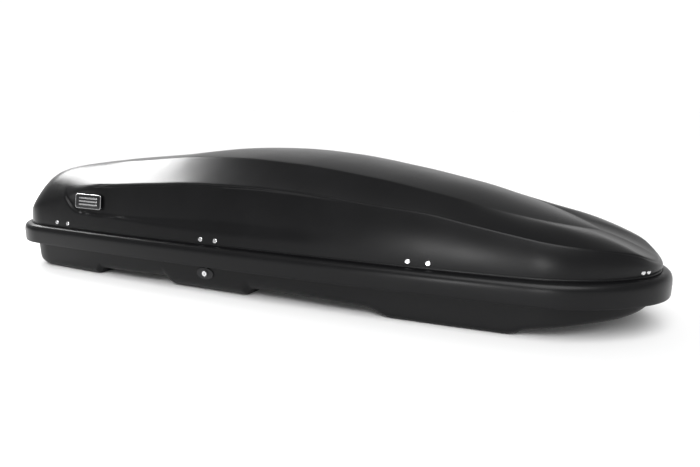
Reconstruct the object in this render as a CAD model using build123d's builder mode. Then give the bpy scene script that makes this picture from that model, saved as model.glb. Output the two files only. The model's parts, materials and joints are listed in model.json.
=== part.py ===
from build123d import *
from math import atan, atan2, cos, degrees, hypot, radians, sin, sqrt
import os

# Roof cargo box. +X is the nose, +Y the car's left (hinge side), +Z up, millimetres.
# The origin is under the middle of the box, in the plane of the feet.

# ---- driving dimensions: shells ----
box_length = 2000.0
# the plan outline's arcs from the tail to the nose: radius, turn
plan_arcs = [(2023, 7.1), (157, 85.0), (15250, 5.5), (2107, 2.0), (393, 42.5)]
crease_z = 146.0        # where the lid wall meets the top of the skirt band
skirt_height = 58.0
skirt_inset = 25.0      # how far the lid wall stands inside the skirt
skirt_wall = 4.0
skirt_top_round = 19.0
skirt_foot_round = 3.0
wall = 3.5
wall_lean = 0.17        # inward lean of the lid wall, per unit of height
base_inset = 36.0
rim_z = 134.5
channel_z = 21.0        # underside of the crossbar channels, above the feet
bilge = [(0, rim_z), (2, 45), (12, 16), (40, 0)]   # base wall: extra inset, height
# underside of the base along the box: tail arc, feet and channels, nose arc
tail_rise = [(-1010, 92), (-945, 20.5), (-868, 0)]
feet = [(-868, 0), (-602, 0), (-580, channel_z), (-330, channel_z), (-296, 0), (-48, 0),
        (-22, channel_z), (305, channel_z), (388, 0), (690, 0)]
nose_rise = [(690, 0), (850, 22), (1010, 92)]
# lid roof: station x, ridge half-width, ridge height over the crease, slope of the band outside the ridge
roof_stations = [
    (-1012, 150, 85, 0.9), (-950, 176, 135, 0.8), (-890, 184, 166, 0.7), (-740, 190, 190, 0.62),
    (-560, 194, 205, 0.6), (-370, 199, 223, 0.62), (-100, 200, 232, 0.68), (160, 180, 215, 0.62),
    (400, 161, 179, 0.46), (600, 142, 138, 0.42), (740, 88, 106, 0.24), (837, 12, 82, 0.12),
    (1012, 6, 44, 0.1),
]
crown_rise = 14.0       # the top panel's crown at full width
widest_ridge = 200.0

# ---- driving dimensions: hardware ----
hinge_stations = {"rear": -141.0, "front": 463.0}
hinge_inset = 18.0
hinge_z = 98.0
pin_radius = 3.0
running = 0.05
knuckle_radius = 6.0
lid_knuckle = 30.0
base_knuckle = 18.0
knuckle_gap = 0.5
leaf_length = 84.0
leaf_sheet = 2.5
rivet_pitch = 50.0
rivet_rise = 13.0
rivet_head_radius = 7.0
rivet_head_height = 3.0
rivet_grip = 9.0
shank_radius = 2.4
hole_radius = 2.5
rivet_stations = {"rear": -719.0, "mid_rear": -141.0, "mid_front": 463.0}
nose_rivets = (948.0, 938.0)
lock_x = -164.0
lock_z = 58.0
crank = 20.0
lock_travel = crank * sqrt(2)
bar_rows = {"rear": -456.0, "front": 142.0}
bolt_y = 190.0
leg_pitch = 90.0
leg_radius = 4.0
leg_top = 114.0
bend_radius = 14.0
knob_height = 22.0
knob_hub_height = 4.0
rail_ends = (-566.0, 290.0)
rail_height = 12.0
rail_sheet = 2.0
leg_slot_length = 60.0
plate_length = 126.0
plate_width = 38.0
plate_thickness = 5.0
pad_length = 90.0
pad_width = 40.0
pad_thickness = 4.0
pad_y = 110.0
moving_gap = 0.3        # between bodies that move past each other

os.makedirs("parts", exist_ok=True)


def save(part, name):
    part.label = name
    export_step(part, f"parts/{name}.step")


# ---- plan outline: one tangent chain of arcs from the tail to the nose ----
def plan_chain():
    x, y, heading = 0.0, 0.0, 90.0
    chain = []
    turns = list(plan_arcs)
    for index in range(len(turns) + 1):
        if index < len(turns):
            radius, turn = turns[index]
        else:
            turn = heading + 90
            radius = y / cos(radians(heading))
        cx = x + radius * sin(radians(heading))
        cy = y - radius * cos(radians(heading))
        chain.append((cx, cy, radius, heading + 90, turn))
        heading -= turn
        x = cx - radius * sin(radians(heading))
        y = cy + radius * cos(radians(heading))
    scale = box_length / x
    return [(cx * scale - box_length / 2, cy * scale, r * scale, a, t) for cx, cy, r, a, t in chain]


chain = plan_chain()


def plan(inset, z):
    """The outline, moved in by inset, as a face at height z."""
    with BuildSketch(Plane.XY.offset(z)) as shape:
        with BuildLine():
            for cx, cy, radius, start, turn in chain:
                CenterArc((cx, cy), radius - inset, start, -turn)
            mirror(about=Plane.XZ)
        make_face()
    return shape.sketch


def rim_point(x, inset):
    """The outline's point at x on the +Y side, and its outward normal."""
    for cx, cy, radius, start, turn in chain:
        r = radius - inset
        low = cx + r * cos(radians(start))
        high = cx + r * cos(radians(start - turn))
        if low <= x <= high:
            y = cy + sqrt(r * r - (x - cx) ** 2)
            return y, Vector((x - cx) / r, (y - cy) / r, 0)
    raise ValueError(f"no outline at {x}")


def wall_plane(x, side, inset, z):
    """A plane on the wall: x along the wall, y up, z outwards."""
    y, normal = rim_point(x, inset)
    out = Vector(normal.X, side * normal.Y, 0)
    return Plane(origin=(x, side * y, z), x_dir=Vector(0, 0, 1).cross(out), z_dir=out)


# ---- shells ----
def roof(drop):
    """The lid's roof: crowned top panel, ridges and the sloping bands outside them, lowered by drop."""
    half_span = 460.0
    floor_z = -300.0
    sections = []
    for x, ridge_y, ridge_z, slope in roof_stations:
        ridge = ridge_z - drop
        crown = crown_rise * (ridge_y / widest_ridge) ** 2
        edge = ridge - slope * (half_span - ridge_y)
        with BuildSketch(Plane.YZ.offset(x)) as section:
            with BuildLine():
                ThreePointArc((ridge_y, ridge), (0, ridge + crown), (-ridge_y, ridge))
                Polyline((-ridge_y, ridge), (-half_span, edge), (-half_span, floor_z),
                         (half_span, floor_z), (half_span, edge), (ridge_y, ridge))
            make_face()
        sections.append(section.sketch)
    with BuildPart() as body:
        loft(sections, ruled=True)
    return body.part.moved(Location((0, 0, crease_z)))


def lid_upper(inset, foot_z, drop):
    """The lid above the crease: leaning walls under the roof."""
    top_z = 420.0
    with BuildPart() as body:
        loft([plan(inset + wall_lean * (z - crease_z), z) for z in (foot_z, top_z)], ruled=True)
        add(roof(drop), mode=Mode.INTERSECT)
    return body.part


def tray(thickness, top_z):
    """The base's outer form, or its inside when a wall thickness is given."""
    levels = [(0, top_z)] + bilge[1:]
    floor_edge = 20       # levels under this belong to the floor and rise with its thickness
    with BuildPart() as body:
        for (inset_a, z_a), (inset_b, z_b) in zip(levels, levels[1:]):
            lower = z_b + (thickness if z_b < floor_edge else 0)
            upper = z_a + (thickness if z_a < floor_edge else 0)
            inset = base_inset + thickness
            loft([plan(inset + inset_a, upper), plan(inset + inset_b, lower)], ruled=True)
        with BuildSketch(Plane.XZ) as underside:
            with BuildLine():
                ThreePointArc(*tail_rise)
                Polyline(*feet)
                ThreePointArc(*nose_rise)
                (nose_x, nose_z), (tail_x, tail_z) = nose_rise[-1], tail_rise[0]
                Polyline((nose_x, nose_z), (nose_x, -20), (tail_x, -20), (tail_x, tail_z))
            make_face()
        raised = underside.sketch.moved(Location((0, 0, thickness)))
        extrude(raised, amount=500, both=True, mode=Mode.SUBTRACT)
    return body.part


leg_points = {row: [x - leg_pitch / 2, x + leg_pitch / 2] for row, x in bar_rows.items()}


def leg_slots(z, width, side_ys):
    """Fore-and-aft slots that the U-bolts' legs pass through."""
    spots = [(x, y) for xs in leg_points.values() for x in xs for y in side_ys]
    with BuildSketch(Plane.XY.offset(z)) as slots:
        with Locations(*spots):
            SlotOverall(leg_slot_length, width)
    return slots.sketch


# ---- frames on the two sides ----
def line_frame(side, inset):
    """The line through the rim at the hinge stations: origin, direction to the nose, outward normal."""
    ends = []
    for x in (hinge_stations["rear"], hinge_stations["front"]):
        y, _ = rim_point(x, inset)
        ends.append(Vector(x, side * y, 0))
    along = (ends[1] - ends[0]).normalized()
    return ends[0], along, Vector(0, 0, side).cross(along), (ends[1] - ends[0]).length


hinge_origin, hinge_along, hinge_out, hinge_span = line_frame(1, hinge_inset)
near_origin, near_along, near_out, near_span = line_frame(-1, base_inset)


def hinge_plane(along):
    """Across the hinge axis: x outboard, y up, both from the pin."""
    origin = hinge_origin + hinge_along * along + Vector(0, 0, hinge_z)
    return Plane(origin=origin, x_dir=hinge_out, z_dir=hinge_along)


def near_plane(along, depth, z=0.0):
    """On the near side: x towards the nose, y up, z outwards, depth inside the base wall's face."""
    origin = near_origin + near_along * along - near_out * depth + Vector(0, 0, z)
    return Plane(origin=origin, x_dir=near_along, z_dir=near_out)


def near_section(along):
    """Across the near side's line: x is the depth inside the base wall's face, y is the height."""
    return Plane(origin=near_origin + near_along * along, x_dir=near_out * -1, z_dir=near_along)


lid_lean = Vector(0, 0, 1) * sin(atan(wall_lean))


def lid_wall_plane(x, side, rise):
    """On the lid wall's outer face at a height over the crease, z along the face's normal."""
    y, normal = rim_point(x, skirt_inset + wall_lean * rise)
    flat = Vector(normal.X, side * normal.Y, 0)
    out = flat * cos(atan(wall_lean)) + lid_lean
    return Plane(origin=(x, side * y, crease_z + rise), x_dir=Vector(0, 0, 1).cross(flat), z_dir=out)


rivet_spots = {
    "rear_rivets": [(rivet_stations["rear"] + s * rivet_pitch / 2, -1) for s in (-1, 1)],
    "mid_rear_rivets": [
        (rivet_stations["mid_rear"] + s * rivet_pitch / 2, t) for s in (-1, 1) for t in (-1, 1)],
    "mid_front_rivets": [
        (rivet_stations["mid_front"] + s * rivet_pitch / 2, t) for s in (-1, 1) for t in (-1, 1)],
    "nose_rivets": [(x, -1) for x in nose_rivets],
}
hole_reach = 12.0
with BuildPart() as rivet_holes:
    for spots in rivet_spots.values():
        for x, side in spots:
            with BuildSketch(lid_wall_plane(x, side, rivet_rise).offset(-hole_reach)) as hole:
                Circle(hole_radius)
            extrude(hole.sketch, amount=hole_reach + rivet_head_height)


# ---- rivets ----
def rivet(plane):
    """A dome-head blind rivet: head on the plane, shank through it, formed tail inside."""
    tail_height = 1.5
    tail_radius = 4.2
    dome = 0.8            # share of the head's height that is rounded
    with BuildPart() as body:
        with BuildSketch(plane) as head:
            Circle(rivet_head_radius)
        extrude(head.sketch, amount=rivet_head_height)
        crown = body.faces().sort_by(Axis(plane.origin, plane.z_dir))[-1]
        fillet(crown.edges(), rivet_head_height * dome)
        with BuildSketch(plane) as shank:
            Circle(shank_radius)
        extrude(shank.sketch, amount=-rivet_grip - tail_height)
        with BuildSketch(plane.offset(-rivet_grip)) as tail:
            Circle(tail_radius)
        extrude(tail.sketch, amount=-tail_height)
    return body.part


# ---- lid ----
skirt_z = crease_z - skirt_height
open_depth = 10.0         # how far the cavity's cutter runs out below the skirt
with BuildPart() as lid_cavity:
    add(plan(skirt_wall, skirt_z - open_depth))
    extrude(amount=skirt_height + open_depth - skirt_wall)
    fillet(lid_cavity.edges().group_by(Axis.Z)[-1], skirt_top_round - skirt_wall)
    add(lid_upper(skirt_inset + wall, crease_z - 3 * skirt_wall, wall))

with BuildPart() as lid_shell:
    add(plan(0, skirt_z))
    extrude(amount=skirt_height)
    fillet(lid_shell.edges().group_by(Axis.Z)[-1], skirt_top_round)
    fillet(lid_shell.edges().group_by(Axis.Z)[0], skirt_foot_round)
    add(lid_upper(skirt_inset, crease_z - 1, 0))
    add(lid_cavity.part, mode=Mode.SUBTRACT)
    add(rivet_holes.part, mode=Mode.SUBTRACT)
save(lid_shell.part, "lid_shell")

stiffener_depth = 10
stiffener_length = 60
stiffener_width = 330
for name, x in {"rear": -400, "front": 250}.items():
    with BuildPart() as stiffener:
        add(roof(wall))
        add(roof(wall + stiffener_depth), mode=Mode.SUBTRACT)
        with Locations((x, 0, crease_z)):
            Box(stiffener_length, stiffener_width, 800, mode=Mode.INTERSECT)
    save(stiffener.part, f"{name}_stiffener")

badge_x = -608
badge_rise = 88
badge_length = 112.0
badge_height = 46.0
badge_corner = 9.0
badge_proud = 1.6
badge_sunk = 2.0          # the plate starts inside the curved wall, which is then taken away
with BuildPart() as badge_plate:
    with BuildSketch(lid_wall_plane(badge_x, -1, badge_rise).offset(-badge_sunk)) as badge:
        RectangleRounded(badge_length, badge_height, badge_corner)
    extrude(badge.sketch, amount=badge_sunk + badge_proud)
    add(lid_shell.part, mode=Mode.SUBTRACT)
    add(lid_cavity.part, mode=Mode.SUBTRACT)
save(badge_plate.part, "badge_plate")

for name, spots in rivet_spots.items():
    with BuildPart() as rivets:
        for x, side in spots:
            add(rivet(lid_wall_plane(x, side, rivet_rise)))
    save(rivets.part, name)

# ---- base ----
tray_outside = tray(0, rim_z)
tray_inside = tray(wall, rim_z + 5)
lock_along = (Vector(lock_x, 0, 0) - Vector(near_origin.X, 0, 0)).X / near_along.X
housing_radius = 11.0

with BuildPart() as base_shell:
    add(tray_outside)
    add(tray_inside, mode=Mode.SUBTRACT)
    extrude(leg_slots(channel_z - 1, 10.4, (-bolt_y, bolt_y)), amount=2 * wall, mode=Mode.SUBTRACT)
    with BuildSketch(near_plane(lock_along, 10, lock_z)) as lock_hole:
        Circle(housing_radius + moving_gap)
    extrude(lock_hole.sketch, amount=20, mode=Mode.SUBTRACT)
save(base_shell.part, "base_shell")

trim_lip = 10.0
trim_cap = 4.0
trim_sheet = 1.5
with BuildPart() as rim_trim:
    with BuildSketch(Plane.XY.offset(rim_z - trim_lip)) as band:
        add(plan(base_inset - trim_sheet, 0))
        add(plan(base_inset + wall + trim_sheet, 0), mode=Mode.SUBTRACT)
    extrude(band.sketch, amount=trim_lip + trim_cap)
    fillet(rim_trim.edges().group_by(Axis.Z)[-1], trim_cap / 2)
    with BuildSketch(Plane.XY.offset(rim_z - trim_lip)) as slot:
        add(plan(base_inset, 0))
        add(plan(base_inset + wall, 0), mode=Mode.SUBTRACT)
    extrude(slot.sketch, amount=trim_lip, mode=Mode.SUBTRACT)
    add(base_shell.part, mode=Mode.SUBTRACT)
save(rim_trim.part, "rim_trim")

rail_foot = channel_z + wall
rail_top = rail_foot + rail_height
rail_half = 32.0
rail_crown = 20.0
for name, y in {"left": bolt_y, "right": -bolt_y}.items():
    with BuildPart() as rail:
        with BuildSketch(Plane.YZ.offset(rail_ends[0])) as profile:
            with BuildLine():
                Polyline((y - rail_half, rail_foot), (y - rail_half, rail_foot + rail_sheet),
                         (y - rail_crown - 2, rail_foot + rail_sheet), (y - rail_crown, rail_top),
                         (y + rail_crown, rail_top), (y + rail_crown + 2, rail_foot + rail_sheet),
                         (y + rail_half, rail_foot + rail_sheet), (y + rail_half, rail_foot),
                         (y + rail_crown + 0.5, rail_foot), (y + rail_crown - 1.5, rail_top - rail_sheet),
                         (y - rail_crown + 1.5, rail_top - rail_sheet), (y - rail_crown - 0.5, rail_foot),
                         (y - rail_half, rail_foot))
            make_face()
        extrude(profile.sketch, amount=rail_ends[1] - rail_ends[0])
        extrude(leg_slots(rail_foot, 9.6, (y,)), amount=20, mode=Mode.SUBTRACT)
    save(rail.part, f"rail_{name}")

for row, x in bar_rows.items():
    with BuildPart() as pads:
        with BuildSketch(Plane.XY.offset(channel_z)) as pad:
            with Locations((x, pad_y), (x, -pad_y)):
                RectangleRounded(pad_length, pad_width, 6)
        extrude(pad.sketch, amount=-pad_thickness)
    save(pads.part, f"{row}_bar_pads")

# ---- roof mounting ----
knob_foot = rail_top + plate_thickness + moving_gap
bend_z = channel_z - 0.5 - leg_radius
corners = {f"{row}_{side}": (x, y) for row, x in bar_rows.items()
           for side, y in (("left", bolt_y), ("right", -bolt_y))}
for name, (x, y) in corners.items():
    with BuildPart() as plate:
        with BuildSketch(Plane.XY.offset(rail_top)) as outline:
            with Locations((x, y)):
                RectangleRounded(plate_length, plate_width, 7)
            with Locations((x - leg_pitch / 2, y), (x + leg_pitch / 2, y)):
                Circle(leg_radius + moving_gap, mode=Mode.SUBTRACT)
        extrude(outline.sketch, amount=plate_thickness)
    save(plate.part, f"{name}_clamp_plate")

    with BuildPart() as u_bolt:
        with BuildLine() as path:
            FilletPolyline((x - leg_pitch / 2, y, leg_top), (x - leg_pitch / 2, y, bend_z),
                           (x + leg_pitch / 2, y, bend_z), (x + leg_pitch / 2, y, leg_top),
                           radius=bend_radius)
        with BuildSketch(Plane(origin=path.line @ 0, z_dir=path.line % 0)) as rod:
            Circle(leg_radius)
        sweep(rod.sketch, path=path.line)
    save(u_bolt.part, f"{name}_u_bolt")

    for end, leg_x in {"aft": x - leg_pitch / 2, "fore": x + leg_pitch / 2}.items():
        with BuildPart() as knob:
            with BuildSketch(Plane.XY.offset(knob_foot + knob_hub_height)) as star:
                with Locations((leg_x, y)):
                    Circle(16)
                    with PolarLocations(14.5, 6):
                        Circle(5.5)
            extrude(star.sketch, amount=knob_height - knob_hub_height)
            fillet(knob.edges().group_by(Axis.Z)[-1], 1.5)
            with BuildSketch(Plane.XY.offset(knob_foot)) as hub:
                with Locations((leg_x, y)):
                    Circle(12)
            extrude(hub.sketch, amount=knob_hub_height)
            with BuildSketch(Plane.XY.offset(knob_foot - 1)) as bore:
                with Locations((leg_x, y)):
                    Circle(leg_radius + running)
            extrude(bore.sketch, amount=knob_height + 2, mode=Mode.SUBTRACT)
        save(knob.part, f"{name}_{end}_knob")

# ---- hinges ----
hinge_alongs = {"rear": 0.0, "front": hinge_span}
stack = lid_knuckle / 2 + knuckle_gap + base_knuckle
base_leaf_length = 100.0
leaf_gap = 2.5
base_face = base_inset - hinge_inset     # from the pin to the base wall's outer face
leaf_face = base_face - leaf_gap - leaf_sheet   # inner face of the lid leaf
for name, along in hinge_alongs.items():
    with BuildPart() as lid_leaf:
        with BuildSketch(hinge_plane(along - leaf_length / 2)) as leaf:
            with BuildLine():
                Polyline((-leaf_face, 9), (-leaf_face + leaf_sheet, 9), (-leaf_face + leaf_sheet, 46),
                         (-leaf_face + 4, 48),
                         (-leaf_face - 1, 76), (-leaf_face - 5.2, 76), (-leaf_face, 46), (-leaf_face, 9))
            make_face()
        extrude(leaf.sketch, amount=leaf_length)
        with BuildSketch(hinge_plane(along - lid_knuckle / 2)) as knuckle:
            Circle(knuckle_radius)
            Polygon((-leaf_face, 2), (-4, -2), (-1, 5.9), (-leaf_face + leaf_sheet, 16), (-leaf_face, 16),
                    align=None)
            Circle(pin_radius + running, mode=Mode.SUBTRACT)
        extrude(knuckle.sketch, amount=lid_knuckle)
        add(lid_cavity.part, mode=Mode.INTERSECT)
        add(rivet_holes.part, mode=Mode.SUBTRACT)
    save(lid_leaf.part, f"{name}_hinge_lid_leaf")

    with BuildPart() as base_leaf:
        with BuildSketch(hinge_plane(along - base_leaf_length / 2)) as leaf:
            with Locations((-base_face - 1, 9)):
                Rectangle(6, 30)
        extrude(leaf.sketch, amount=base_leaf_length)
        add(tray_outside, mode=Mode.SUBTRACT)
        for start in (-stack, lid_knuckle / 2 + knuckle_gap):
            with BuildSketch(hinge_plane(along + start)) as knuckle:
                Circle(knuckle_radius)
                Polygon((-base_face + 1, -5), (-2, -5.5), (-2, 5.5), (-base_face + 1, 5), align=None)
                Circle(pin_radius, mode=Mode.SUBTRACT)
            extrude(knuckle.sketch, amount=base_knuckle)
    save(base_leaf.part, f"{name}_hinge_base_leaf")

    with BuildPart() as hinge_pin:
        with BuildSketch(hinge_plane(along - stack)) as rod:
            Circle(pin_radius)
        extrude(rod.sketch, amount=2 * stack + 1)
        with BuildSketch(hinge_plane(along - stack)) as head:
            Circle(pin_radius + 2)
        extrude(head.sketch, amount=-2)
    save(hinge_pin.part, f"{name}_hinge_pin")

# ---- lid lifters: two parallel-arm linkages, each opened at its elbow ----
# along the hinge line, side the interior lies on, base pivot and lid pivot from the hinge axis
lifters = {
    "rear": (-757.0, 1, (-250.0, 12.0), (-200.0, 62.0)),
    "front": (1046.0, -1, (-160.0, 12.0), (-120.0, 62.0)),
}
pin_head_radius = 7.0
pin_head_height = 2.0
pin_root = 12.0
arm_thickness = 4.0
arm_width = 16.0
bracket_reach = 120.0     # brackets run out to whichever wall they meet
pivot_radius = 4.0
layer_gap = 0.5
upper_layer = layer_gap * 2 + arm_thickness
outer_face = upper_layer + arm_thickness + layer_gap
elbow_clearance = moving_gap


def bar(plane, start, end, holes):
    """A flat arm between two pivots, with a hole of the given radius at each."""
    (x0, y0), (x1, y1) = start, end
    length = hypot(x1 - x0, y1 - y0)
    with BuildSketch(plane) as shape:
        with Locations(Location(((x0 + x1) / 2, (y0 + y1) / 2, 0),
                                (0, 0, degrees(atan2(y1 - y0, x1 - x0))))):
            SlotCenterToCenter(length, arm_width)
        for spot, radius in zip((start, end), holes):
            with Locations(spot):
                Circle(radius, mode=Mode.SUBTRACT)
    return shape.sketch


def layer(along, inward, depth):
    """The lifter's plane, a distance towards the box's interior, facing along the hinge line."""
    return hinge_plane(along + inward * depth)


def disc(plane, spot, radius):
    with BuildSketch(plane) as shape:
        with Locations(spot):
            Circle(radius)
    return shape.sketch


base_pins = []
lid_pins = []
for name, (along, inward, base_pivot, lid_pivot) in lifters.items():
    elbow = (base_pivot[0] + lid_pivot[0], base_pivot[1] + lid_pivot[1])

    with BuildPart() as lower_arm:
        extrude(bar(layer(along, inward, layer_gap), base_pivot, elbow, (pivot_radius + running, pivot_radius)),
                amount=inward * arm_thickness)
    save(lower_arm.part, f"{name}_lower_arm")

    with BuildPart() as upper_arm:
        extrude(bar(layer(along, inward, upper_layer), lid_pivot, elbow,
                    (pivot_radius + running, pivot_radius + elbow_clearance)), amount=inward * arm_thickness)
    save(upper_arm.part, f"{name}_upper_arm")

    with BuildPart() as elbow_pin:
        extrude(disc(layer(along, inward, layer_gap), elbow, pivot_radius),
                amount=inward * (outer_face - layer_gap))
        extrude(disc(layer(along, inward, outer_face), elbow, pin_head_radius),
                amount=inward * pin_head_height)
    save(elbow_pin.part, f"{name}_elbow_pin")

    with BuildPart() as base_bracket:
        with BuildSketch(layer(along, inward, 0)) as post:
            with Locations(base_pivot):
                RectangleRounded(30, 26, 5)
        extrude(post.sketch, amount=-inward * bracket_reach)
        add(tray_inside, mode=Mode.INTERSECT)
        extrude(disc(layer(along, inward, 0), base_pivot, pivot_radius), amount=-inward * pin_root,
                mode=Mode.SUBTRACT)
    save(base_bracket.part, f"{name}_lifter_base_bracket")

    with BuildPart() as lid_bracket:
        with BuildSketch(layer(along, inward, 0)) as post:
            with Locations((lid_pivot[0], lid_pivot[1] + 8)):
                RectangleRounded(30, 42, 5)
        extrude(post.sketch, amount=-inward * bracket_reach)
        add(lid_cavity.part, mode=Mode.INTERSECT)
        extrude(disc(layer(along, inward, 0), lid_pivot, pivot_radius), amount=-inward * pin_root,
                mode=Mode.SUBTRACT)
    save(lid_bracket.part, f"{name}_lifter_lid_bracket")

    for pins, spot, head_at in ((base_pins, base_pivot, upper_layer), (lid_pins, lid_pivot, outer_face)):
        with BuildPart() as pin:
            extrude(disc(layer(along, inward, -pin_root), spot, pivot_radius),
                    amount=inward * (pin_root + head_at))
            extrude(disc(layer(along, inward, head_at), spot, pin_head_radius),
                    amount=inward * pin_head_height)
        pins.append(pin.part)

for name, pins in {"lifter_base_pins": base_pins, "lifter_lid_pins": lid_pins}.items():
    with BuildPart() as group:
        add(pins)
    save(group.part, name)

# ---- lock ----
barrel_radius = 7.5
bar_depth = 17.5
bar_thickness = 3.0
bar_low = lock_z + 4
bar_high = lock_z + 26
striker_height = lock_z + 36
nut_depth = 7.4
nut_height = 4.0
wall_depth = 1.7
escutcheon_half_length = 28.0
escutcheon_half_height = 17.0
lever_width = 12.0
lever_height = 2.6

with BuildPart() as lock_escutcheon:
    with BuildSketch(near_plane(lock_along, wall_depth + 3, lock_z)) as oval:
        Ellipse(escutcheon_half_length, escutcheon_half_height)
        Circle(housing_radius + running, mode=Mode.SUBTRACT)
    extrude(oval.sketch, amount=6)
    add(tray_outside, mode=Mode.SUBTRACT)
    fillet(lock_escutcheon.faces().sort_by(Axis(near_origin, near_out))[-1].outer_wire().edges(), 1.6)
save(lock_escutcheon.part, "lock_escutcheon")

with BuildPart() as lock_housing:
    with BuildSketch(near_plane(lock_along, 12.6, lock_z)) as tube:
        Circle(housing_radius)
        Circle(barrel_radius + running, mode=Mode.SUBTRACT)
    extrude(tube.sketch, amount=16.2)
save(lock_housing.part, "lock_housing")

with BuildPart() as lock_nut:
    with BuildSketch(near_plane(lock_along, nut_depth + nut_height, lock_z)) as ring:
        RegularPolygon(17, 6)
        Circle(housing_radius + running, mode=Mode.SUBTRACT)
    extrude(ring.sketch, amount=nut_height)
save(lock_nut.part, "lock_nut")

crank_pin = (-lock_travel / 2, lock_travel / 2)
with BuildPart() as lock_barrel:
    extrude(disc(near_plane(lock_along, 13.2, lock_z), (0, 0), barrel_radius), amount=17.3)
    with BuildSketch(near_plane(lock_along, -4.1, lock_z)) as keyhole:
        SlotOverall(8, 1.8, rotation=90)
    extrude(keyhole.sketch, amount=-6, mode=Mode.SUBTRACT)
    with BuildSketch(near_plane(lock_along, 15.8, lock_z)) as lever:
        with Locations(Location((crank_pin[0] / 2, crank_pin[1] / 2, 0), (0, 0, 135))):
            SlotCenterToCenter(crank, lever_width)
    extrude(lever.sketch, amount=lever_height)
    extrude(disc(near_plane(lock_along, 22, lock_z), crank_pin, pin_radius), amount=6.2)
save(lock_barrel.part, "lock_barrel")

bar_start = -70.0
bar_end = near_span + 14
throat_low = striker_height + 4.5
with BuildPart() as lock_bar:
    with BuildSketch(near_plane(0, bar_depth + bar_thickness)) as flat:
        Polygon((bar_start, bar_low), (bar_end, bar_low), (bar_end, bar_high), (bar_start, bar_high), align=None)
        with Locations(Location((lock_along + crank_pin[0], lock_z + 17, 0), (0, 0, 90))):
            SlotOverall(13.6, 7.8, mode=Mode.SUBTRACT)
    extrude(flat.sketch, amount=bar_thickness)
save(lock_bar.part, "lock_bar")

with BuildPart() as lock_hooks:
    for striker in (0, near_span):
        with BuildSketch(near_plane(0, bar_depth + bar_thickness)) as jaw:
            Polygon((striker - 46, bar_high), (striker - 34, bar_high), (striker - 34, throat_low),
                    (striker - 6, throat_low), (striker - 6, throat_low + 7), (striker - 12, throat_low + 11),
                    (striker - 46, throat_low + 11), align=None)
        extrude(jaw.sketch, amount=bar_thickness)
save(lock_hooks.part, "lock_hooks")

guide_slack = 0.6
guide_length = 20.0
with BuildPart() as bar_guides:
    for along in (70, 300, 520):
        with BuildSketch(near_section(along - guide_length / 2)) as staple:
            Polygon((-2, bar_low - 8), (25, bar_low - 8), (25, bar_high + 6), (-2, bar_high + 6), align=None)
            Polygon((bar_depth - guide_slack, bar_low - guide_slack),
                    (bar_depth + bar_thickness + guide_slack, bar_low - guide_slack),
                    (bar_depth + bar_thickness + guide_slack, bar_high + guide_slack),
                    (bar_depth - guide_slack, bar_high + guide_slack), align=None, mode=Mode.SUBTRACT)
        extrude(staple.sketch, amount=guide_length)
    add(tray_inside, mode=Mode.INTERSECT)
save(bar_guides.part, "bar_guides")


def lid_hanger(half_width, leg_half_width, plane_at, leg_low, leg_depth, leg_thickness):
    """A bracket on the lid wall that steps over the rim trim and reaches down inside the base."""
    shelf_z = rim_z + 8
    with BuildPart() as body:
        with BuildSketch(plane_at(half_width)) as flange:
            Polygon((-9, shelf_z), (-5, 172), (-1.2, 172), (-5.2, shelf_z + 3), (-5, shelf_z), align=None)
        extrude(flange.sketch, amount=2 * half_width)
        with BuildSketch(plane_at(leg_half_width)) as leg:
            Polygon((-7, shelf_z), (leg_depth, shelf_z), (leg_depth, leg_low), (leg_depth + leg_thickness, leg_low),
                    (leg_depth + leg_thickness, shelf_z + 3), (-7, shelf_z + 3), align=None)
        extrude(leg.sketch, amount=2 * leg_half_width)
        add(lid_cavity.part, mode=Mode.INTERSECT)
        add(rivet_holes.part, mode=Mode.SUBTRACT)
    return body.part


for name, along in {"rear": 0.0, "front": near_span}.items():
    with BuildPart() as striker:
        add(lid_hanger(36, 12, lambda half: near_section(along - half), striker_height - 5, 8, 3))
        extrude(disc(near_plane(along, 25, striker_height), (0, 0), pin_radius), amount=15)
    save(striker.part, f"{name}_striker")


def locator_section(x):
    """Across the rim at x on the near side, with depth and height as in near_section."""
    def at(half):
        y, normal = rim_point(x, base_inset)
        out = Vector(normal.X, -normal.Y, 0)
        along = Vector(0, 0, 1).cross(out)
        return Plane(origin=Vector(x, -y, 0) - along * half, x_dir=out * -1, z_dir=along)
    return at


locators = {"rear_locator": (rivet_stations["rear"], 36), "nose_locator": (sum(nose_rivets) / 2, 22)}
for name, (x, half_width) in locators.items():
    with BuildPart() as locator:
        add(lid_hanger(half_width, 13, locator_section(x), 112, 8, 7))
    save(locator.part, name)

# ---- rivets through the rails' flanges ----
with BuildPart() as base_rivets:
    with BuildSketch(Plane.XY.offset(rail_foot + rail_sheet)) as heads:
        with Locations(*[(x, side * bolt_y + flange) for side in (1, -1) for x in (-548, -364, 6, 272)
                         for flange in (-27, 27)]):
            Circle(4.2)
    extrude(heads.sketch, amount=1.6)
save(base_rivets.part, "base_rivets")
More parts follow.
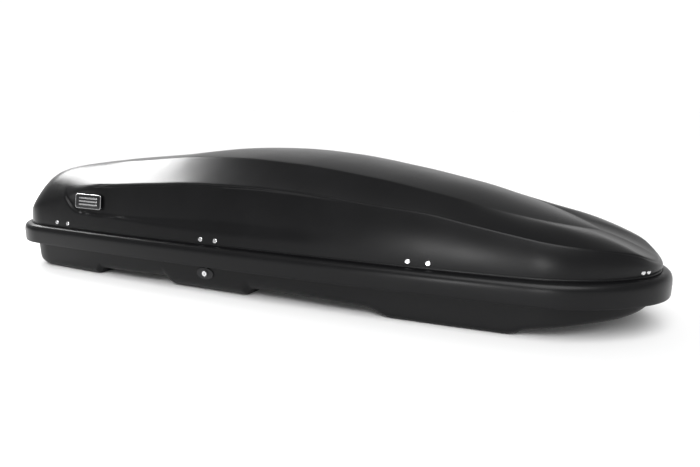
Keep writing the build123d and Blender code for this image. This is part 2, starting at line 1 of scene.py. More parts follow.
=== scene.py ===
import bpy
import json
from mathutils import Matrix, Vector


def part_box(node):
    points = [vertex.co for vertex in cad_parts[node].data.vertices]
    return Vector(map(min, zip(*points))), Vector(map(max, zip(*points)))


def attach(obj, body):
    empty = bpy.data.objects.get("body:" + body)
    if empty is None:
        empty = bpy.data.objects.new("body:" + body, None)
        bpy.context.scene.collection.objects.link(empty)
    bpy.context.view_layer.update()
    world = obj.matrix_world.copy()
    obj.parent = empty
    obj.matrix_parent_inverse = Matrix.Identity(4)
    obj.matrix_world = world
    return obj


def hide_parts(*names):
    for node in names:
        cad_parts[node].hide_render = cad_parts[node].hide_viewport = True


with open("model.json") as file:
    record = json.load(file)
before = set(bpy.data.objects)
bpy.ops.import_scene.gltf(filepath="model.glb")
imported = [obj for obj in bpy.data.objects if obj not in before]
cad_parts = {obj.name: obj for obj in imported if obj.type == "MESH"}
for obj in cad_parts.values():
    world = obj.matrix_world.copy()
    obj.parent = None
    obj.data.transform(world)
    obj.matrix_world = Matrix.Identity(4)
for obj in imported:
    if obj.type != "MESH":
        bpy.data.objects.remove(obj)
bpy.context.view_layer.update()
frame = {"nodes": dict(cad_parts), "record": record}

import json
import math

import bmesh
import bpy
import numpy as np
from mathutils import Vector

MM = 0.001

# ---------------------------------------------------------------- shape numbers, millimetres
LENGTH = 2000.0
PLAN_ARCS = [(2023, 7.1), (157, 85.0), (15250, 5.5), (2107, 2.0), (393, 42.5)]  # radius, turn from the tail
CREASE_Z = 146.0        # where the lid's side wall rises from its skirt band
SKIRT_INSET = 25.0      # the wall's foot, in from the outline
LEAN = 0.17             # how far the side wall leans in for each millimetre it rises
SKIN = 3.4              # the lid's thickness
WALL = 3.5              # the base tub's thickness, and the stiffeners' depth below the roof
BASE_INSET = 36.0
RIM_Z = 134.5


def hermite(table):
    """A smooth curve through (x, y) pairs that never overshoots them."""
    xs, ys = (np.array(column, float) for column in zip(*table))
    h, d = np.diff(xs), np.diff(ys) / np.diff(xs)
    m = np.zeros(len(xs))
    m[0], m[-1] = d[0], d[-1]
    for i in range(1, len(xs) - 1):
        if d[i - 1] * d[i] > 0:
            a, b = 2 * h[i] + h[i - 1], h[i] + 2 * h[i - 1]
            m[i] = (a + b) / (a / d[i - 1] + b / d[i])

    def at(x):
        x = np.clip(np.asarray(x, float), xs[0], xs[-1])
        i = np.clip(np.searchsorted(xs, x) - 1, 0, len(h) - 1)
        t = (x - xs[i]) / h[i]
        return (ys[i] * (1 + 2 * t) * (1 - t) ** 2 + h[i] * m[i] * t * (1 - t) ** 2
                + ys[i + 1] * t * t * (3 - 2 * t) + h[i] * m[i + 1] * t * t * (t - 1))
    return at


def smooth(x, low, high):
    t = np.clip((x - low) / (high - low), 0, 1)
    return t * t * (3 - 2 * t)


# lid: ridge half-width and height over the crease, lower line's height, along the box
ridge_y = hermite([(-1000, 178), (-900, 184), (-650, 192), (-370, 199), (-200, 203), (-20, 197), (160, 180),
                   (340, 164), (430, 159), (520, 153), (610, 139), (700, 108), (790, 47), (837, 2)])
ridge_z = hermite([(-1000, 100), (-950, 139), (-890, 165), (-830, 178), (-740, 189), (-650, 197),
                   (-560, 205), (-470, 213), (-370, 223), (-290, 229), (-110, 233), (70, 224), (160, 215),
                   (250, 203), (340, 190), (430, 174), (520, 157), (610, 136), (700, 115), (790, 94),
                   (837, 82)])
crown = hermite([(-1000, 2), (-560, 4), (-370, 8), (-200, 13), (300, 13), (520, 16), (700, 14), (837, 8)])
line_z = hermite([(-1000, 70), (-940, 96), (-880, 115), (-800, 129), (-650, 136), (-521, 146), (-370, 157),
                  (-154, 168), (-22, 168), (101, 163), (216, 154), (325, 142), (477, 129), (573, 112),
                  (664, 96), (750, 82), (829, 72), (906, 62), (950, 52), (980, 38), (1000, 26)])
line_round = hermite([(-1000, 110), (-860, 110), (-740, 80), (-640, 32), (-560, 14), (-460, 4), (700, 4),
                      (850, 6), (940, 12), (1000, 22)])
ridge_round = hermite([(-1000, 100), (-880, 90), (-760, 44), (-650, 12), (-560, 5), (700, 5), (800, 6),
                       (837, 8)])

# how far the lid's side wall and the band above it bow outwards
wall_bulge = hermite([(-1000, 5), (-860, 4), (-700, 2), (-300, 1), (100, 3), (400, 6), (560, 5), (700, 4),
                      (850, 4), (1000, 4)])
band_bulge = hermite([(-1000, 14), (-860, 14), (-740, 9), (-600, 1), (-300, -3), (100, -5), (400, -4),
                      (560, -2), (640, 1), (720, 4), (800, 6), (880, 9), (940, 8), (1000, 5)])
TAIL_RIDGE_X = -905.0   # the ridge's rearmost point, where its tail curve starts, and its foremost point
TAIL_BEND_X = -780.0
TIP_X = 837.0
TAIL_SQUARENESS = 2.7   # 2 would make the tail curve an ellipse

# the fold that sweeps down the side and forward, x and height over the crease
FOLD_START, FOLD_END = -792, 300
fold = hermite([(FOLD_START, 250), (-770, 190), (-754, 150), (-742, 128), (-724, 108), (-700, 80),
                (-680, 63), (-655, 53), (-620, 50), (-494, 48), (-343, 43), (-200, 40), (FOLD_END, 36)])
RECESS = 7.0            # how far the side panel inside the fold is set back
LINING = 0.8            # the share of that recess which shows on the inside

# skirt band profile from its inner lower edge to the wall's foot: inset, height
SKIRT = [(4.0, 92), (4.0, 89.5), (3.3, 88.3), (2.1, 88), (1.0, 88.5), (0.5, 90), (0.3, 92.5), (0.1, 100),
         (0, 108), (0, 116), (0.15, 122), (0.5, 127), (1.3, 131.5), (2.6, 135.2), (4.4, 138.4), (6.8, 141),
         (9.7, 142.9), (13, 144.1), (16.5, 144.8), (20.5, 145.3), (22.4, 145.2), (23.0, 144.2),
         (23.6, 143.4), (24.4, 143.4), (24.6, 144.3), (24.5, 146.5), (24.6, 148.1), (25.0, 148.9),
         (25.6, 149.3)]
SKIRT_INSIDE = [(4.0, 94), (4.2, 110), (4.4, 122), (5.2, 130), (7.6, 136), (12, 139.5), (18, 141),
                (24, 141.5), (28, 143), (29.4, 149)]


# ---------------------------------------------------------------- outline
def plan_chain():
    """The outline's arcs as centre, radius, start angle and turn; a last arc closes it square on the axis."""
    x, y, heading, chain = 0.0, 0.0, 90.0, []
    for index in range(len(PLAN_ARCS) + 1):
        if index < len(PLAN_ARCS):
            radius, turn = PLAN_ARCS[index]
        else:
            turn = heading + 90
            radius = y / math.cos(math.radians(heading))
        cx = x + radius * math.sin(math.radians(heading))
        cy = y - radius * math.cos(math.radians(heading))
        chain.append((cx, cy, radius, heading + 90, turn))
        heading -= turn
        x = cx - radius * math.sin(math.radians(heading))
        y = cy + radius * math.cos(math.radians(heading))
    k = LENGTH / x
    return [(cx * k - LENGTH / 2, cy * k, r * k, a, t) for cx, cy, r, a, t in chain]


def outline(density):
    """Half the outline from the tail's middle to the nose's: points, outward normals and length, spaced by
    density(x)."""
    rows = []
    for cx, cy, r, start, turn in plan_chain():
        count = max(4, int(r * math.radians(turn) / 0.5))
        a = np.radians(start - turn * np.arange(count) / count)
        rows.append(np.stack([cx + r * np.cos(a), cy + r * np.sin(a), np.cos(a), np.sin(a)], 1))
    rows.append(np.array([[LENGTH / 2, 0, 1, 0]]))
    dense = np.concatenate(rows)
    dense[0, 1:4] = (0, -1, 0)
    step = np.hypot(*np.diff(dense[:, :2], axis=0).T)
    middle = (dense[1:, 0] + dense[:-1, 0]) / 2
    work = np.concatenate([[0], np.cumsum(step * density(middle))])
    spots = np.linspace(0, work[-1], int(round(work[-1])) + 1)
    half = np.stack([np.interp(spots, work, dense[:, k]) for k in range(4)], 1)
    half[:, 2:] /= np.hypot(half[:, 2], half[:, 3])[:, None]
    length = np.interp(spots, work, np.concatenate([[0], np.cumsum(step)]))
    return half[:, :2], half[:, 2:], length


def inset_line(p, n, inset, z):
    """The outline moved in by inset, at height z."""
    return np.stack([p[:, 0] - n[:, 0] * inset, p[:, 1] - n[:, 1] * inset, np.full(len(p), z)], 1)


# ---------------------------------------------------------------- mesh helpers
def new_object(name, verts, faces):
    mesh = bpy.data.meshes.new(name)
    mesh.from_pydata([tuple(v) for v in verts], [], faces)
    mesh.validate()
    piece = bpy.data.objects.new(name, mesh)
    bpy.context.scene.collection.objects.link(piece)
    return piece


def lofted(rings, first=0):
    """The faces of a solid through rings of one count, capped at both ends; first is its first vertex."""
    count = len(rings[0])
    faces = [(first + i * count + k, first + i * count + (k + 1) % count,
              first + (i + 1) * count + (k + 1) % count, first + (i + 1) * count + k)
             for i in range(len(rings) - 1) for k in range(count)]
    last = first + (len(rings) - 1) * count
    return faces + [tuple(range(first, first + count)), tuple(range(last, last + count))]


def shade(piece, angle=40):
    """Smooth shading with edges over the angle, in degrees, kept sharp."""
    mesh = piece.data
    mesh.polygons.foreach_set("use_smooth", [True] * len(mesh.polygons))
    mesh.set_sharp_from_angle(angle=math.radians(angle))
    mesh.update()


def tidy_mesh(piece, weld=0.00002):
    """Welds doubles, drops needles and points every face outwards."""
    bm = bmesh.new()
    bm.from_mesh(piece.data)
    bmesh.ops.remove_doubles(bm, verts=bm.verts, dist=weld)
    bmesh.ops.dissolve_degenerate(bm, edges=bm.edges, dist=weld)
    bmesh.ops.recalc_face_normals(bm, faces=bm.faces)
    bm.to_mesh(piece.data)
    bm.free()


def shell_object(name, half_grid, seam):
    """A closed shell from half a grid: rows run round the outline, columns up to the middle and back inside.
    No face joins column seam to the next: the two sides' halves meet there."""
    rows, columns, _ = half_grid.shape
    other = half_grid[::-1].copy()
    other[:, :, 1] *= -1
    grid = np.concatenate([half_grid, other[1:-1]])
    total = len(grid)
    faces = []
    for i in range(total):
        a, b = i * columns, (i + 1) % total * columns
        for j in range(columns - 1):
            if j != seam:
                faces.append((a + j, b + j, b + j + 1, a + j + 1))
        faces.append((a + columns - 1, b + columns - 1, b, a))
    piece = new_object(name, grid.reshape(-1, 3) * MM, faces)
    tidy_mesh(piece)
    shade(piece)
    return piece


def resample(points, breaks, rounds, columns):
    """Rounds each section's corners by local averaging. breaks are the corners' places in a section, rounds
    their widths, and columns gives the lengths to sample at from the corners' lengths and widths."""
    out = []
    for row in range(len(points)):
        p = points[row]
        u = np.concatenate([[0], np.cumsum(np.linalg.norm(np.diff(p, axis=0), axis=1))])
        area = np.concatenate([np.zeros((1, 3)),
                               np.cumsum((p[1:] + p[:-1]) / 2 * np.diff(u)[:, None], axis=0)])
        widths = [r[row] for r in rounds]
        spots = columns([u[b] for b in breaks], widths)
        w = np.full(len(spots), 1e-3)
        for b, width in zip(breaks, widths):
            w = np.maximum(w, width - np.abs(spots - u[b]))
        w = np.minimum(w, np.minimum(spots - u[0], u[-1] - spots).clip(1e-3))
        low, high = spots - w, spots + w
        mean = np.stack([(np.interp(high, u, area[:, k]) - np.interp(low, u, area[:, k])) / (high - low)
                         for k in range(3)], 1)
        exact = np.stack([np.interp(spots, u, p[:, k]) for k in range(3)], 1)
        out.append(np.where((w > 2e-3)[:, None], mean, exact))
    return np.array(out)


def grid_normals(grid):
    """Outward unit normals of half a grid, kept in the mirror plane at its end rows and its last column."""
    along = np.gradient(grid, axis=0)
    along[0] = (0, 1, 0)
    along[-1] = (0, -1, 0)
    across = np.gradient(grid, axis=1)
    n = np.cross(across, along)
    n /= np.linalg.norm(n, axis=2, keepdims=True) + 1e-12
    n[:, -1, 1] = 0
    n[:, -1] /= np.linalg.norm(n[:, -1], axis=1, keepdims=True)
    n[[0, -1], :, 1] = 0
    n /= np.linalg.norm(n, axis=2, keepdims=True)
    return -n if n[:, :, 2].mean() < 0 else n


# ---------------------------------------------------------------- lid
SWEEP_STEPS = 120
WALL_COLUMNS, LINE_COLUMNS, BAND_COLUMNS, RIDGE_COLUMNS, PANEL_COLUMNS = 29, 9, 16, 9, 13
UNDER_LINE = np.array([16, 11, 8.5, 7, 5.8, 4.8, 3.8, 2.8])   # closer columns, this far below the lower line
LINE_COLUMN = WALL_COLUMNS + len(UNDER_LINE) + LINE_COLUMNS // 2


def top(px, py):
    """The top panel's height, crowned between its two ridges."""
    share = np.clip(np.abs(py) / np.maximum(ridge_y(px), 1), 0, 1)
    full = crown(px) * np.clip(ridge_y(px) / 150, 0, 1)
    return CREASE_Z + ridge_z(px) + full * (1 - share ** 2)


def lid_density(x):
    """Rows per millimetre: closer together round the fold's start and at both ends."""
    return 1 / 13 + (1 / 5 - 1 / 13) * ((x > -800) & (x < -560)) + 0.06 * (x < -860) + 0.07 * (x > 900)


def lid_columns(u, widths):
    """Where a lid section is sampled: the wall, round the lower line, the band, the ridge and the panel."""
    r1, r2 = widths[1] / 2, widths[2] / 2
    under = u[1] - np.maximum(UNDER_LINE, r1 + 0.3 * UNDER_LINE)
    return np.concatenate([np.linspace(0, under[0], WALL_COLUMNS + 1)[:-1], under,
                           np.linspace(u[1] - r1, u[1] + r1, LINE_COLUMNS),
                           np.linspace(u[1] + r1, u[2] - r2, BAND_COLUMNS + 2)[1:-1],
                           np.linspace(u[2] - r2, u[2] + r2, RIDGE_COLUMNS),
                           np.linspace(u[2] + r2, u[3], PANEL_COLUMNS + 1)[1:]])


def ridge_loop():
    """Half the ridge in plan from the tail's middle to the tip, its running length, and that length at x."""
    turn = np.linspace(0, math.pi / 2, 200)
    power = 2 / TAIL_SQUARENESS
    tail = np.stack([TAIL_BEND_X + (TAIL_RIDGE_X - TAIL_BEND_X) * np.cos(turn) ** power,
                     float(ridge_y(TAIL_BEND_X)) * np.sin(turn) ** power], 1)
    side_x = np.linspace(TAIL_BEND_X, TIP_X, 3000)[1:]
    side = np.stack([side_x, ridge_y(side_x)], 1)
    side[-1, 1] = 0
    loop = np.concatenate([tail, side])
    length = np.concatenate([[0], np.cumsum(np.hypot(*np.diff(loop, axis=0).T))])

    def length_at(x):
        return float(np.interp(x, side_x, length[len(tail):]))
    return loop, length, length_at


def lid_sections(p, n, s):
    """The lid's sections over its skirt, with their corners rounded and the tail smoothed into one form."""
    x = p[:, 0]
    loop, loop_s, loop_at = ridge_loop()
    past_tail = x > -900
    match = hermite([(0, 0)] + [(float(np.interp(q, x[past_tail], s[past_tail])), loop_at(q))
                                for q in (-700, -300, 300)] + [(s[-1], loop_s[-1])])
    ridge_s = match(s)
    rx, ry = (np.interp(ridge_s, loop_s, loop[:, k]) for k in range(2))
    ry[0] = ry[-1] = 0
    spine = hermite([(0, -845), (loop_at(-640), -640), (loop_at(600), 600), (loop_s[-1], 812)])
    middle_x = spine(ridge_s)

    foot = inset_line(p, n, *SKIRT[-1])
    line = inset_line(p, n, SKIRT_INSET + LEAN * line_z(x), CREASE_Z + line_z(x))
    ridge = np.stack([rx, ry, top(rx, ry)], 1)
    tangent = np.stack([n[:, 1], -n[:, 0], np.zeros(len(p))], 1)
    outward = np.stack([n[:, 0], n[:, 1], np.full(len(p), 0.6)], 1)

    def swept(a, b, bulge):
        t = np.linspace(0, 1, SWEEP_STEPS)[None, :, None]
        across = np.cross(b - a, tangent)
        across /= np.linalg.norm(across, axis=1, keepdims=True)
        across *= np.where((across * outward).sum(1) < 0, -1, 1)[:, None]
        return a[:, None] * (1 - t) + b[:, None] * t + (across * bulge[:, None])[:, None] * 4 * t * (1 - t)

    t = np.linspace(0, 1, SWEEP_STEPS)[None, :]
    qx = rx[:, None] + (middle_x - rx)[:, None] * t
    qy = ry[:, None] * (1 - t)
    panel = np.stack([qx, qy, top(qx, qy)], 2)
    dense = np.concatenate([swept(foot, line, wall_bulge(x)), swept(line, ridge, band_bulge(x))[:, 1:],
                            panel[:, 1:]], 1)
    breaks = [k * (SWEEP_STEPS - 1) for k in range(4)]
    square = np.zeros(len(p))
    plain = resample(dense, breaks, [square, line_round(x), ridge_round(rx), square], lid_columns)
    plain[[0, -1], :, 1] = 0
    plain[:, -1, 1] = 0
    soften = 0.5 * smooth(-plain[:, 1:-1, 0:1], 560, 780)
    soften[:, :4] = 0
    for _ in range(70):
        plain[:, 1:-1] += soften * ((plain[:, 2:] + plain[:, :-2]) / 2 - plain[:, 1:-1])
    return plain


def side_recess(plain):
    """How far each point is set back: the side panel lies between the fold and the lower line."""
    gx = plain[:, :, 0]
    gh = plain[:, :, 2] - CREASE_Z
    steps = np.linalg.norm(np.diff(plain, axis=1), axis=2)
    u = np.concatenate([np.zeros((len(plain), 1)), np.cumsum(steps, axis=1)], 1)
    under = u[:, LINE_COLUMN:LINE_COLUMN + 1] - u
    fold_x = np.linspace(FOLD_START, FOLD_END, 1400)
    fold_points = np.stack([fold_x, fold(fold_x)], 1)
    flat = np.stack([gx.ravel(), gh.ravel()], 1)
    gap = np.full(len(flat), 1e9)
    near = (flat[:, 0] > FOLD_START - 68) & (flat[:, 0] < FOLD_END + 30)
    for start in range(0, len(fold_x), 50):
        part = fold_points[start:start + 50]
        d = np.sqrt(((flat[near][:, None] - part[None]) ** 2).sum(2)).min(1)
        gap[near] = np.minimum(gap[near], d)
    gap = gap.reshape(gx.shape)
    signed = np.where((gh > fold(gx)) & (gx > FOLD_START), gap, -gap)
    soft = 5.5 + 26 * smooth(gx, -520, -60)
    by_fold = smooth(signed, -0.25 * soft, soft)
    open_line = 1 - smooth(gx, -640, -520)      # at the tail the panel fades out by height instead
    by_line = smooth(under, 2.2, 9.0) * (1 - open_line) + open_line * (1 - smooth(gh, 84, 128))
    return RECESS * (1 - smooth(gx, -150, 330)) * by_fold * by_line


def lid_half():
    """Half of the lid's closed skin: up the skirt and over the roof outside, then back inside."""
    p, n, s = outline(lid_density)
    plain = lid_sections(p, n, s)
    normal = grid_normals(plain)
    depth = side_recess(plain)
    shaped = plain - normal * depth[:, :, None]
    inner = plain - normal * SKIN - normal * (depth * LINING)[:, :, None]
    inner[:, -1, 1] = 0
    skirt = np.stack([inset_line(p, n, inset, z) for inset, z in SKIRT[:-1]], 1)
    inside_skirt = np.stack([inset_line(p, n, inset, z) for inset, z in SKIRT_INSIDE], 1)
    half = np.concatenate([skirt, shaped, inner[:, 3:][:, ::-1], inside_skirt[:, ::-1]], 1)
    half[[0, -1], :, 1] = 0
    return half, skirt.shape[1] + shaped.shape[1] - 1


lid = shell_object("lid_skin", *lid_half())
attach(lid, "lid")
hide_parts("lid_shell")

FLANGE = 1.6
RIB_PROFILE = [(0, 0), (0, FLANGE), (0.14, FLANGE), (0.18, 2.2), (0.25, 8.6), (0.3, 9.6), (0.7, 9.6),
               (0.75, 8.6), (0.82, 2.2), (0.86, FLANGE), (1, FLANGE), (1, 0)]      # share of the width, depth


def stiffener(name, low_x, high_x, half_width):
    """A hat-section rib bonded under the top panel: flanges along both edges and a raised middle."""
    across = np.linspace(-half_width, half_width, 45)
    ends = np.clip((half_width - np.abs(across)) / 14, 0, 1)
    rings = []
    for y, end in zip(across, ends):
        ring = []
        for share, depth in RIB_PROFILE:
            x = low_x + (high_x - low_x) * share
            sunk = min(depth, FLANGE) + max(depth - FLANGE, 0) * end
            ring.append((x, y, float(top(x, y)) - WALL - sunk))
        rings.append(ring)
    piece = new_object(f"{name}_skin", np.array(rings).reshape(-1, 3) * MM, lofted(rings))
    tidy_mesh(piece)
    shade(piece, 25)
    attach(piece, "lid")
    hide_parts(name)
    return piece


stiffeners = [stiffener("rear_stiffener", -430, -370, 165), stiffener("front_stiffener", 220, 280, 150)]


# ---------------------------------------------------------------- base
# the underside's height along the box: feet on the ground, channels between them, and a rise at both ends
FEET = [(-1010, 92), (-985, 52), (-960, 29), (-930, 13), (-900, 4), (-868, 0), (-604, 0), (-580, 21),
        (-330, 21), (-296, 0), (-50, 0), (-24, 21), (316, 21), (392, 0), (668, 0), (688, 4), (708, 14),
        (735, 20), (780, 27), (850, 39), (900, 46), (940, 57), (975, 75), (1010, 94)]
under_z = hermite(FEET)
bilge_round = hermite([(-1000, 40), (-860, 30), (-600, 24), (-420, 26), (-300, 42), (0, 40), (350, 18),
                       (700, 18), (860, 14), (1000, 14)])
RAMP_MIDDLES = (-592, -313, -37, 346)   # the slopes between the feet and the channels
BEAD_PLACES, BEAD_HEIGHT, BEAD_WIDTH = (0, 62), 2.6, 9.0
WALL_ROWS, BEND_ROWS, FLOOR_ROWS = 14, 10, 40
WALL_SLOPE = 0.03


def base_density(x):
    """Rows per millimetre: closer together on three of the slopes and at both ends."""
    ramps = ((x > -612) & (x < -572)) | ((x > -338) & (x < -288)) | ((x > -58) & (x < -16))
    return 1 / 11 + (1 / 4 - 1 / 11) * ramps + 0.07 * (x < -860) + 0.06 * (x > 900)


def tub_surface(p, n, offset):
    """Section rows from the rim down the wall, round the bilge and in to the middle, offset inwards."""
    x = p[:, 0]
    bend = bilge_round(x) - offset
    rim_inset = BASE_INSET + offset
    top_of_bend = np.minimum(under_z(x - n[:, 0] * (rim_inset + 8)) + offset + bend, 120)
    grid = []
    for k in range(WALL_ROWS):
        t = k / (WALL_ROWS - 1)
        z = RIM_Z * (1 - t) + top_of_bend * t
        grid.append(inset_line(p, n, rim_inset + (RIM_Z - z) * WALL_SLOPE, z))
    bend_inset = rim_inset + (RIM_Z - top_of_bend) * WALL_SLOPE
    for k in range(1, BEND_ROWS + 1):
        a = k / BEND_ROWS * math.pi / 2
        row = inset_line(p, n, bend_inset + bend * (1 - math.cos(a)), 0.0)
        row[:, 2] = np.minimum(under_z(row[:, 0]) + offset + bend * (1 - math.sin(a)), top_of_bend - 0.2 * k)
        grid.append(row)
    last_x, last_y, _ = grid[-1].T
    spine_x = np.where(last_x < -800, -800 + (last_x + 800) * 0.45, last_x)
    spine_x = np.where(last_x > 780, 780 + (last_x - 780) * 0.45, spine_x)
    for k in range(1, FLOOR_ROWS + 1):
        t = k / FLOOR_ROWS
        qx = last_x * (1 - t) + spine_x * t
        qy = last_y * (1 - t)
        bead = BEAD_HEIGHT * sum(np.exp(-((np.abs(qy) - c) / BEAD_WIDTH) ** 4) for c in BEAD_PLACES)
        window = smooth(qx, -700, -660) * (1 - smooth(qx, 600, 680))
        for middle in RAMP_MIDDLES:
            window = window * smooth(np.abs(qx - middle), 26, 48)
        grid.append(np.stack([qx, qy, under_z(qx) + offset + bead * window], 1))
    return np.stack(grid, 1)


def base_half():
    """Half of the tub: its outside from the rim to the middle, then its inside back to the rim."""
    p, n, _ = outline(base_density)
    outer = tub_surface(p, n, 0.0)
    inner = tub_surface(p, n, WALL)
    half = np.concatenate([outer, inner[:, ::-1]], 1)
    half[[0, -1], :, 1] = 0
    return half, outer.shape[1] - 1


BAR_X = (-456, 142)             # the middles of the two pairs of U-bolts
LEG_REACH, BOLT_Y = 45, 190
SLOT_LENGTH, SLOT_WIDTH, SLOT_SIDES = 60.0, 10.4, 24


def slot_ring(x, y, z):
    ring = []
    for k in range(SLOT_SIDES):
        a = 2 * math.pi * (k + 0.5) / SLOT_SIDES
        side = 1 if math.cos(a) > 0 else -1
        ring.append((x + side * (SLOT_LENGTH - SLOT_WIDTH) / 2 + SLOT_WIDTH / 2 * math.cos(a),
                     y + SLOT_WIDTH / 2 * math.sin(a), z))
    return ring


def cut_leg_slots(piece):
    """Cuts the fore-and-aft slots that the U-bolts' legs pass through."""
    verts, faces = [], []
    for x in [bar + reach for bar in BAR_X for reach in (-LEG_REACH, LEG_REACH)]:
        for y in (-BOLT_Y, BOLT_Y):
            rings = [slot_ring(x, y, z) for z in (-6.0, 60.0)]
            faces += lofted(rings, len(verts))
            verts += rings[0] + rings[1]
    cutter = new_object("slot_cutter", np.array(verts) * MM, faces)
    tidy_mesh(cutter)
    modifier = piece.modifiers.new("slots", "BOOLEAN")
    modifier.operation = "DIFFERENCE"
    modifier.solver = "EXACT"
    modifier.object = cutter
    bpy.context.view_layer.update()
    graph = bpy.context.evaluated_depsgraph_get()
    cut = bpy.data.meshes.new_from_object(piece.evaluated_get(graph))
    piece.modifiers.clear()
    piece.data = cut
    bpy.data.objects.remove(cutter)
    shade(piece)


tub = shell_object("base_tub", *base_half())
cut_leg_slots(tub)
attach(tub, "base")
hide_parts("base_shell")


# ---------------------------------------------------------------- badge, metres
BADGE_CORNER = 0.008
# each ring of a badge piece: inset from the badge's edge, height over its plate
RIM_RINGS = [(0.0, 0.0002), (0.0, 0.0008), (0.0004, 0.0013), (0.0012, 0.0014), (0.0018, 0.0011),
             (0.002, 0.0004), (0.006, 0.0004)]
FIELD_RINGS = [(0.0021, 0.0003), (0.0021, 0.0006), (0.0026, 0.0008), (0.012, 0.0009)]
BAR_RINGS = [(0.0, 0.0006), (0.0, 0.0012), (0.0005, 0.0016)]
BAR_MARGIN, BAR_HALF_HEIGHT, BAR_SPACING = 0.016, 0.0022, 0.22


def badge_face():
    """The badge plate's outer face: its centre, the directions across, up and out, its length and height."""
    low, high = (Vector(corner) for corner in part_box("badge_plate"))
    span = high - low
    outward, widest = None, 0.0
    for face in frame["nodes"]["badge_plate"].data.polygons:
        if face.normal.y < -0.7 and face.area > widest:
            outward, widest, middle = face.normal.copy(), face.area, face.center.copy()
    across = Vector((0, 0, 1)).cross(outward).normalized()
    up = outward.cross(across).normalized()
    centre = (low + high) / 2
    centre += outward * (middle - centre).dot(outward)
    return centre, across, up, outward, span.x / abs(across.x) - 0.002, span.z / up.z - 0.001


def badge():
    """A plain plate on the badge's solid: a raised bright rim round a dark field with three bars."""
    centre, across, up, outward, length, height = badge_face()
    pieces = []

    def spot(u, v, proud):
        return centre + across * u + up * v + outward * proud

    def frame_ring(inset, proud, count=8):
        ring = []
        r = max(BADGE_CORNER - inset, 0.001)
        for sx, sy, start in ((1, 1, 0), (-1, 1, 90), (-1, -1, 180), (1, -1, 270)):
            for k in range(count + 1):
                a = math.radians(start + 90 * k / count)
                ring.append(spot(sx * (length / 2 - inset - r) + r * math.cos(a),
                                 sy * (height / 2 - inset - r) + r * math.sin(a), proud))
        return ring

    def bar_ring(place, inset, proud, count=8):
        ring = []
        half_u, half_v = length / 2 - BAR_MARGIN - inset, BAR_HALF_HEIGHT - inset
        for side, start in ((1, -90), (-1, 90)):
            for i in range(count + 1):
                a = math.radians(start + 180 * i / count)
                ring.append(spot(side * (half_u - half_v) + half_v * math.cos(a),
                                 place * height * BAR_SPACING + half_v * math.sin(a), proud))
        return ring

    def add(name, rings, material_name):
        piece = new_object(name, [v for ring in rings for v in ring], lofted(rings))
        tidy_mesh(piece)
        shade(piece, 35)
        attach(piece, "lid")
        pieces.append((piece, material_name))

    add("badge_rim", [frame_ring(*row) for row in RIM_RINGS], "bright_steel")
    add("badge_field", [frame_ring(*row) for row in FIELD_RINGS], "badge_dark")
    for place in (-1, 0, 1):
        add(f"badge_rib_{place + 2}", [bar_ring(place, *row) for row in BAR_RINGS], "bright_steel")
    return pieces


badge_pieces = badge()


# ---------------------------------------------------------------- materials
def nodes_of(material):
    material.use_nodes = True
    return material.node_tree.nodes, material.node_tree.links


def surface_material(name, color, roughness, variation, grain, grain_height, metallic=0.0, specular=0.5):
    """Base colour mottling, uneven roughness and a fine grain, all from noise in object space."""
    material = bpy.data.materials.new(name)
    nodes, links = nodes_of(material)
    shader = nodes["Principled BSDF"]
    shader.inputs["Metallic"].default_value = metallic
    shader.inputs["Specular IOR Level"].default_value = specular
    place = nodes.new("ShaderNodeTexCoord")

    def noise(scale, detail):
        texture = nodes.new("ShaderNodeTexNoise")
        texture.inputs["Scale"].default_value = scale
        texture.inputs["Detail"].default_value = detail
        links.new(place.outputs["Object"], texture.inputs["Vector"])
        return texture.outputs["Fac"]

    def halved(value, operation):
        node = nodes.new("ShaderNodeMath")
        node.operation = operation
        node.inputs[1].default_value = 0.5
        links.new(value, node.inputs[0])
        return node

    wide, fine = noise(7.0, 6.0), noise(grain, 3.0)
    ramp = nodes.new("ShaderNodeValToRGB")
    for element, position, tint in zip(ramp.color_ramp.elements, (0.3, 0.7), (1 - MOTTLE, 1 + MOTTLE)):
        element.position = position
        element.color = (*(min(1.0, c * tint) for c in color), 1)
    links.new(wide, ramp.inputs["Fac"])
    links.new(ramp.outputs["Color"], shader.inputs["Base Color"])
    both = halved(fine, "MULTIPLY_ADD")
    links.new(halved(wide, "MULTIPLY").outputs[0], both.inputs[2])
    uneven = nodes.new("ShaderNodeMapRange")
    for socket, value in (("From Min", 0.3), ("From Max", 0.7), ("To Min", roughness - variation),
                          ("To Max", roughness + variation)):
        uneven.inputs[socket].default_value = value
    links.new(both.outputs[0], uneven.inputs["Value"])
    links.new(uneven.outputs["Result"], shader.inputs["Roughness"])
    bump = nodes.new("ShaderNodeBump")
    bump.inputs["Strength"].default_value = 0.6
    bump.inputs["Distance"].default_value = grain_height
    links.new(fine, bump.inputs["Height"])
    links.new(bump.outputs["Normal"], shader.inputs["Normal"])
    return material


MOTTLE = 0.15       # how far the mottling lightens and darkens a colour
# colour, roughness and how far it varies, the grain's scale and its height in metres, metallic, specular
LOOKS = {
    "lid_abs": ((0.0038, 0.0038, 0.0042), 0.31, 0.05, 900, 0.00012, 0.0, 0.2),
    "base_abs": ((0.005, 0.005, 0.0054), 0.44, 0.06, 700, 0.00016, 0.0, 0.19),
    "zinc_steel": ((0.52, 0.53, 0.54), 0.36, 0.08, 260, 0.00005, 1.0),
    "bright_steel": ((0.78, 0.78, 0.79), 0.2, 0.06, 500, 0.00003, 1.0),
    "rubber": ((0.012, 0.012, 0.012), 0.75, 0.08, 1200, 0.0001, 0.0, 0.3),
    "badge_dark": ((0.01, 0.01, 0.011), 0.3, 0.05, 900, 0.00002, 0.0, 0.3),
    "dark_steel": ((0.05, 0.05, 0.052), 0.32, 0.06, 600, 0.00003, 0.6),
    "black_nylon": ((0.014, 0.014, 0.015), 0.55, 0.07, 800, 0.00015, 0.0, 0.35),
}
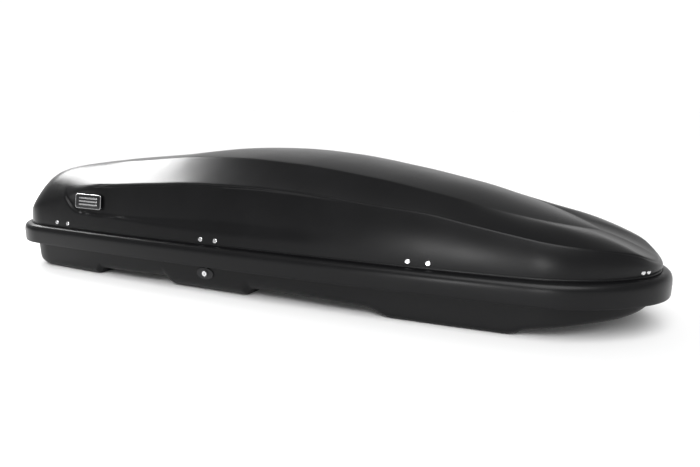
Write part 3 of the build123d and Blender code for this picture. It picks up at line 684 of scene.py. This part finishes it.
DARKER_NODES = {"lock_housing": "dark_steel", "badge_plate": "badge_dark"}   # apart from their record's slot
materials = {name: surface_material(name, *look) for name, look in LOOKS.items()}
for row in frame["record"]["subparts"]:
    node = frame["nodes"][row["node"]]
    node.data.materials.clear()
    node.data.materials.append(materials[DARKER_NODES.get(row["node"], row["material_slot"])])
for piece, material_name in badge_pieces:
    piece.data.materials.append(materials[material_name])
for piece in [lid] + stiffeners:
    piece.data.materials.append(materials["lid_abs"])
tub.data.materials.append(materials["base_abs"])


# ---------------------------------------------------------------- stage
FLOOR_HALF = 60.0


def pale_floor():
    s = FLOOR_HALF
    floor = new_object("floor", [(-s, -s, 0), (s, -s, 0), (s, s, 0), (-s, s, 0)], [(0, 1, 2, 3)])
    material = bpy.data.materials.new("pale_floor")
    inputs = nodes_of(material)[0]["Principled BSDF"].inputs
    inputs["Base Color"].default_value = (0.94, 0.94, 0.94, 1)
    inputs["Roughness"].default_value = 0.9
    inputs["Specular IOR Level"].default_value = 0.0
    floor.data.materials.append(material)


def studio_world():
    """A white sweep low on the far side, and a dimmer studio above and in front."""
    world = bpy.data.worlds.new("studio")
    bpy.context.scene.world = world
    nodes, links = nodes_of(world)
    place = nodes.new("ShaderNodeTexCoord")
    split = nodes.new("ShaderNodeSeparateXYZ")
    links.new(place.outputs["Generated"], split.inputs[0])
    sweep = nodes.new("ShaderNodeMath")
    sweep.operation = "MULTIPLY"
    for slot, row in enumerate((("Y", 0.0, 0.4, 0.0, 1.0), ("Z", 0.18, 0.34, 1.0, 0.0))):
        ramp = nodes.new("ShaderNodeMapRange")
        ramp.interpolation_type = "SMOOTHSTEP"
        for socket, value in zip(("From Min", "From Max", "To Min", "To Max"), row[1:]):
            ramp.inputs[socket].default_value = value
        links.new(split.outputs[row[0]], ramp.inputs["Value"])
        links.new(ramp.outputs["Result"], sweep.inputs[slot])
    level = nodes.new("ShaderNodeMapRange")
    level.inputs["To Min"].default_value = 0.36
    level.inputs["To Max"].default_value = 1.02
    links.new(sweep.outputs[0], level.inputs["Value"])
    links.new(level.outputs["Result"], nodes["Background"].inputs["Strength"])
    nodes["Background"].inputs["Color"].default_value = (1, 1, 1, 1)


def add_light(name, kind, direction, power):
    data = bpy.data.lights.new(name, kind)
    data.energy = power
    lamp = bpy.data.objects.new(name, data)
    lamp.rotation_euler = direction.to_track_quat("-Z", "Y").to_euler()
    bpy.context.scene.collection.objects.link(lamp)
    return lamp


def softbox(name, place, aim, size, power):
    lamp = add_light(name, "AREA", Vector(aim) - Vector(place), power)
    lamp.location = place
    lamp.data.shape = "RECTANGLE"
    lamp.data.size, lamp.data.size_y = size


pale_floor()
studio_world()
bpy.context.scene.view_settings.view_transform = "Standard"
overhead = add_light("overhead", "SUN", Vector((-0.25, 0.55, -0.8)), 2.9)
overhead.data.angle = math.radians(50)
softbox("rear_softbox", (-2.6, 0.35, 1.7), (-0.6, 0, 0.25), (1.3, 0.9), 55)
softbox("front_softbox_left", (0.42, -2.7, 0.22), (0.6, -0.26, 0.15), (0.3, 0.3), 12)
softbox("front_softbox_right", (1.45, -2.5, 0.22), (0.73, -0.24, 0.15), (0.25, 0.25), 9)

# ---------------------------------------------------------------- camera
AZIMUTH, ELEVATION = math.radians(29.04), math.radians(12.19)
LOOK_AT = Vector((0.1334, 0, 0.146))
DISTANCE = 1.7856
look = Vector((-math.sin(AZIMUTH) * math.cos(ELEVATION), math.cos(AZIMUTH) * math.cos(ELEVATION),
               -math.sin(ELEVATION)))
camera_data = bpy.data.cameras.new("camera")
camera_data.lens = 30.23
camera_data.sensor_width = 36
camera_data.clip_end = 400
camera = bpy.data.objects.new("camera", camera_data)
camera.location = LOOK_AT - look * DISTANCE
camera.rotation_euler = look.to_track_quat("-Z", "Y").to_euler()
bpy.context.scene.collection.objects.link(camera)
bpy.context.scene.camera = camera
